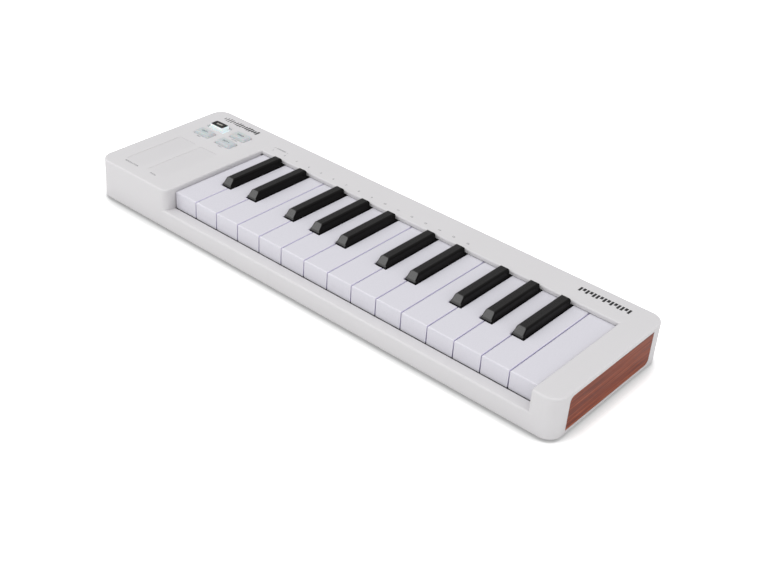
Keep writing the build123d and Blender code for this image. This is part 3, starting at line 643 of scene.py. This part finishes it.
# ---- Stage, lights and camera --------------------------------------------------------------------
STUDIO_LIGHT = 1.30
DARK_PATCH = (-0.516, 0.661, 0.545)  # direction of the dimmer part of the studio
PATCH_RIM, PATCH_CORE = 0.70, 0.95  # cosines of the angles from there at which it starts and is fullest
PATCH_LIGHT = 0.30
LOW_HEIGHT = 0.5  # sine of the elevation below which the studio dims
LOW_SHARE = 0.30  # share of the light left at the horizon
FLOOR_LIFT = 0.6  # extra light that only the camera sees
FLOOR_WHITE = 0.95
FLOOR_GAP = 0.1 * MM
FLOOR_SHADE = ((0.48, 0.40), (0.62, 0.58), (0.85, FLOOR_WHITE))  # (share of open sky, grey)


def stage_floor():
    mesh = bpy.data.meshes.new("floor")
    size = 6.0  # metres from the middle to each edge
    corners = [(-size, -size, 0), (size, -size, 0), (size, size, 0), (-size, size, 0)]
    mesh.from_pydata(corners, [], [(0, 1, 2, 3)])
    floor = add("floor", mesh)
    floor.location.z = -FLOOR_GAP
    material = new_material("floor_white", (FLOOR_WHITE,) * 3, 0.9, Specular_IOR_Level=0.0)
    tree, links = nodes_of(material)
    # Painted contact shadow: the floor's colour turns grey where the case hides its sky, by ambient
    # occlusion.
    contact = tree.new("ShaderNodeAmbientOcclusion")
    contact.samples = 32
    contact.inputs["Distance"].default_value = 20 * MM
    stops = [(open_share, (grey, grey, grey)) for open_share, grey in FLOOR_SHADE]
    shade = ramp(material, contact.outputs["AO"], stops)
    shader = material.node_tree.nodes["Principled BSDF"]
    links.new(shade, shader.inputs["Base Color"])
    links.new(shade, shader.inputs["Emission Color"])
    # Painted light: the floor also glows, for camera rays only, so that it reads white away from the case.
    seen = tree.new("ShaderNodeLightPath")
    lift = tree.new("ShaderNodeMath")
    lift.operation = "MULTIPLY"
    lift.inputs[1].default_value = FLOOR_LIFT
    links.new(seen.outputs["Is Camera Ray"], lift.inputs[0])
    links.new(lift.outputs[0], shader.inputs["Emission Strength"])
    mesh.materials.append(material)


def world_light():
    """A pale studio, dimmer low down and in one patch behind and to the left. The camera sees plain white."""
    world = bpy.data.worlds.new("studio")
    bpy.context.scene.world = world
    world.use_nodes = True
    tree, links = world.node_tree.nodes, world.node_tree.links
    where = tree.new("ShaderNodeTexCoord")
    near_patch = tree.new("ShaderNodeVectorMath")
    near_patch.operation = "DOT_PRODUCT"
    near_patch.inputs[1].default_value = DARK_PATCH
    links.new(where.outputs["Generated"], near_patch.inputs[0])
    patch = tree.new("ShaderNodeMapRange")
    patch.interpolation_type = "SMOOTHSTEP"
    patch.inputs["From Min"].default_value = PATCH_RIM
    patch.inputs["From Max"].default_value = PATCH_CORE
    patch.inputs["To Min"].default_value = STUDIO_LIGHT
    patch.inputs["To Max"].default_value = PATCH_LIGHT
    links.new(near_patch.outputs["Value"], patch.inputs["Value"])
    split = tree.new("ShaderNodeSeparateXYZ")
    links.new(where.outputs["Generated"], split.inputs["Vector"])
    low = tree.new("ShaderNodeMapRange")
    low.inputs["From Min"].default_value = 0.0
    low.inputs["From Max"].default_value = LOW_HEIGHT
    low.inputs["To Min"].default_value = LOW_SHARE
    low.inputs["To Max"].default_value = 1.0
    links.new(split.outputs["Z"], low.inputs["Value"])
    strength = tree.new("ShaderNodeMath")
    strength.operation = "MULTIPLY"
    links.new(patch.outputs["Result"], strength.inputs[0])
    links.new(low.outputs["Result"], strength.inputs[1])
    shader = tree["Background"]
    shader.inputs["Color"].default_value = (1.0, 1.0, 1.0, 1.0)
    seen = tree.new("ShaderNodeLightPath")
    plain = tree.new("ShaderNodeMix")
    plain.inputs["B"].default_value = 1.0
    links.new(seen.outputs["Is Camera Ray"], plain.inputs["Factor"])
    links.new(strength.outputs[0], plain.inputs["A"])
    links.new(plain.outputs["Result"], shader.inputs["Strength"])


def towards(azimuth, elevation):
    """The direction of a place seen from the object. Azimuth 0 is in front of it and 90 on its right."""
    az, el = math.radians(azimuth), math.radians(elevation)
    return Vector((math.sin(az) * math.cos(el), -math.cos(az) * math.cos(el), math.sin(el)))


def area_light(name, azimuth, elevation, distance, size, power, aim=(0.0, 0.0, 0.01)):
    """A square soft light that shines at a point."""
    aim = Vector(aim)
    out = towards(azimuth, elevation)
    lamp = bpy.data.lights.new(name, "AREA")
    lamp.size = size
    lamp.energy = power
    light = add(name, lamp)
    light.location = aim + out * distance
    light.rotation_euler = out.to_track_quat("Z", "Y").to_euler()


def camera():
    """A view from the front right and above, with a slight roll."""
    azimuth, elevation, roll = 38.086, 32.732, math.radians(4.692)
    target = Vector((31.695, -17.852, 14.0)) * MM + Vector((0, 0, CASE_BOTTOM_Z))
    distance = 727.627 * MM
    back = towards(azimuth, elevation)
    right = (-back).cross(Vector((0, 0, 1))).normalized()
    up = right.cross(-back)
    cam_x = right * math.cos(roll) + up * math.sin(roll)
    cam_y = up * math.cos(roll) - right * math.sin(roll)
    data = bpy.data.cameras.new("camera")
    data.sensor_width = 36.0
    data.lens = 59.22
    data.clip_start = 0.01
    data.clip_end = 50.0
    view = add("camera", data)
    turn = Matrix((cam_x, cam_y, back)).transposed().to_4x4()
    view.matrix_world = Matrix.Translation(target + back * distance) @ turn
    bpy.context.scene.camera = view


stage_floor()
world_light()
area_light("overhead", 0, 85, 1.6, 1.2, 2.0)
area_light("front_left", -38, 34, 1.4, 0.7, 2.5)
camera()
bpy.context.scene.view_settings.view_transform = "Standard"
bpy.context.scene.view_settings.look = "None"
